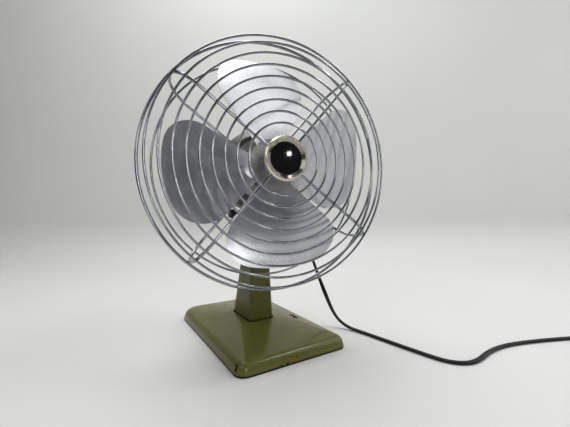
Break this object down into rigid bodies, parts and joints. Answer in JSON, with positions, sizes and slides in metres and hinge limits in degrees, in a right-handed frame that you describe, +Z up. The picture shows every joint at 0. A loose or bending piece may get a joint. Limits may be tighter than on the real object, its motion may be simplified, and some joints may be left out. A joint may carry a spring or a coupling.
{
  "type": "desk fan",
  "caption": "Small desk fan: rectangular weighted base, tapered folded neck, tilting motor head, round wire cage and twisted paddle blades, with a mains lead.",
  "frame": {"origin": "middle of the base's underside, on the surface it stands on", "axes": "+Z up, -Y the base's front, +X to the right seen from the front"},
  "size_m": [0.4757, 0.4153, 0.3225],
  "materials": {
    "olive_paint": "gloss",
    "dark_paint": "satin",
    "chrome_wire": "bright",
    "polished_aluminium": "polished",
    "plated_steel": "satin",
    "cast_iron": "rough",
    "cream_gold": "satin",
    "black_enamel": "gloss",
    "black_rubber": "matt",
    "black_plastic": "satin",
    "cord_vinyl": "satin",
    "brass": "bright",
    "winding_copper": "varnished"
  },
  "bodies": {
    "base": {"base_pad": "black_rubber", "ballast_plate": "cast_iron", "base_shell": "olive_paint", "tie_bolts": "plated_steel", "spacer_sleeves": "plated_steel", "neck_gasket": "black_rubber", "neck_column": "olive_paint", "tilt_bolt": "plated_steel", "tilt_washers": "plated_steel", "cord": "cord_vinyl", "cord_coil": "cord_vinyl", "cord_tie": "cord_vinyl", "plug_body": "cord_vinyl", "plug_prongs": "brass"},
    "head": {"tilt_lug": "dark_paint", "motor_front_cover": "dark_paint", "motor_rear_cover": "dark_paint", "bearing_bracket": "plated_steel", "stator_core": "plated_steel", "stator_windings": "winding_copper", "front_bearing": "brass", "rear_bearing": "brass", "guard_clamp": "plated_steel", "guard_screws": "plated_steel", "guard_spokes": "chrome_wire", "front_rings": "chrome_wire", "rear_rings": "chrome_wire", "badge_cup": "cream_gold", "badge_disc": "black_enamel", "badge_clamp": "plated_steel", "badge_rivet": "plated_steel", "speed_switch": "black_plastic", "strain_relief": "black_rubber"},
    "rotor": {"motor_shaft": "plated_steel", "rotor_core": "plated_steel", "blade_wheel": "polished_aluminium", "blade_hub": "polished_aluminium", "hub_grub_screw": "plated_steel"},
    "tilt_knob": {"tilt_knob": "black_plastic"},
    "speed_knob": {"speed_knob": "black_plastic"}
  },
  "joints": [
    {"name": "head_tilt", "type": "hinge", "parent": "base", "child": "head", "pos_m": [0, -0.013, 0.145], "axis": [-1, 0, 0], "range_deg": [-15, 30], "deforming": ["cord"]},
    {"name": "blade_spin", "type": "hinge", "parent": "head", "child": "rotor", "pos_m": [0, 0.00165, 0.19197], "axis": [0.1564, 0.9871, -0.0345], "continuous": true},
    {"name": "tilt_knob_turn", "type": "hinge", "parent": "base", "child": "tilt_knob", "pos_m": [-0.02, -0.013, 0.145], "axis": [-1, 0, 0], "range_deg": [-180, 0]},
    {"name": "speed_knob_turn", "type": "hinge", "parent": "head", "child": "speed_knob", "pos_m": [0.00704, 0.04607, 0.19042], "axis": [0.1564, 0.9871, -0.0345], "range_deg": [0, 90]}
  ]
}
